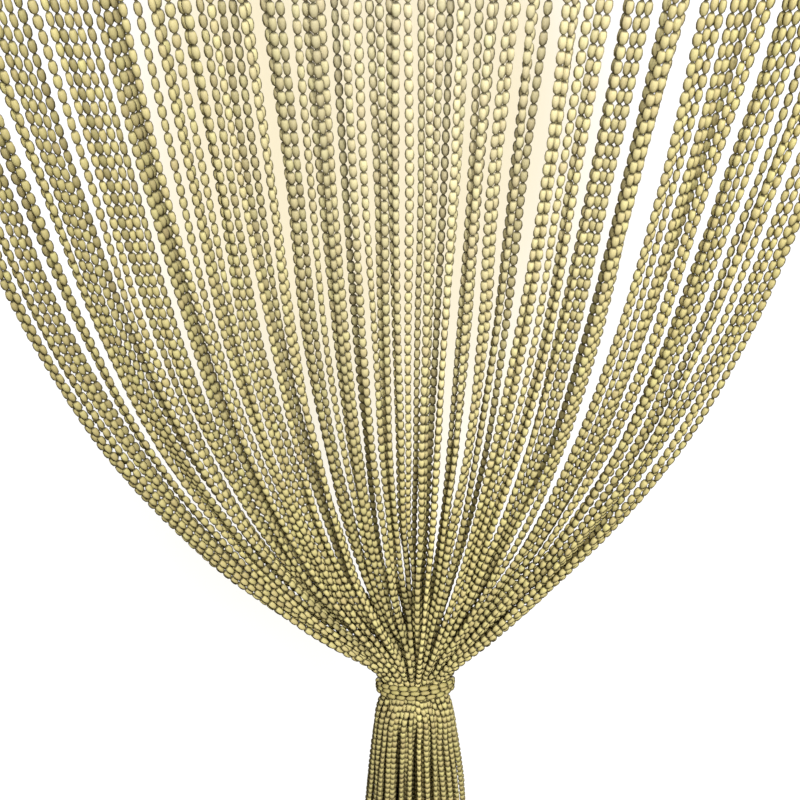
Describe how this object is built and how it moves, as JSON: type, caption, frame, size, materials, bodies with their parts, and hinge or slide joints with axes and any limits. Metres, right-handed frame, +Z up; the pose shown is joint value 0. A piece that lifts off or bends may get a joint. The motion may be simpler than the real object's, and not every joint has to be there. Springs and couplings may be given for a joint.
{
  "type": "bead curtain",
  "caption": "Curtain of bead strands hanging from a narrow heading tape, drawn in below the middle by a wound strand of the same beads, with a loose tail.",
  "frame": {"origin": "middle of the heading tape's top edge, where the curtain is held up", "axes": "+Z up along the hang, +X to the right as seen from the room, -Y towards the viewer"},
  "size_m": [0.9, 0.0828, 2.0017],
  "materials": {
    "beads": "khaki satin plastic, slightly uneven in tone from bead to bead",
    "tie_beads": "khaki satin plastic, as on the strands"
  },
  "bodies": {
    "root": {"strands": "beads", "tie": "tie_beads"}
  },
  "joints": []
}
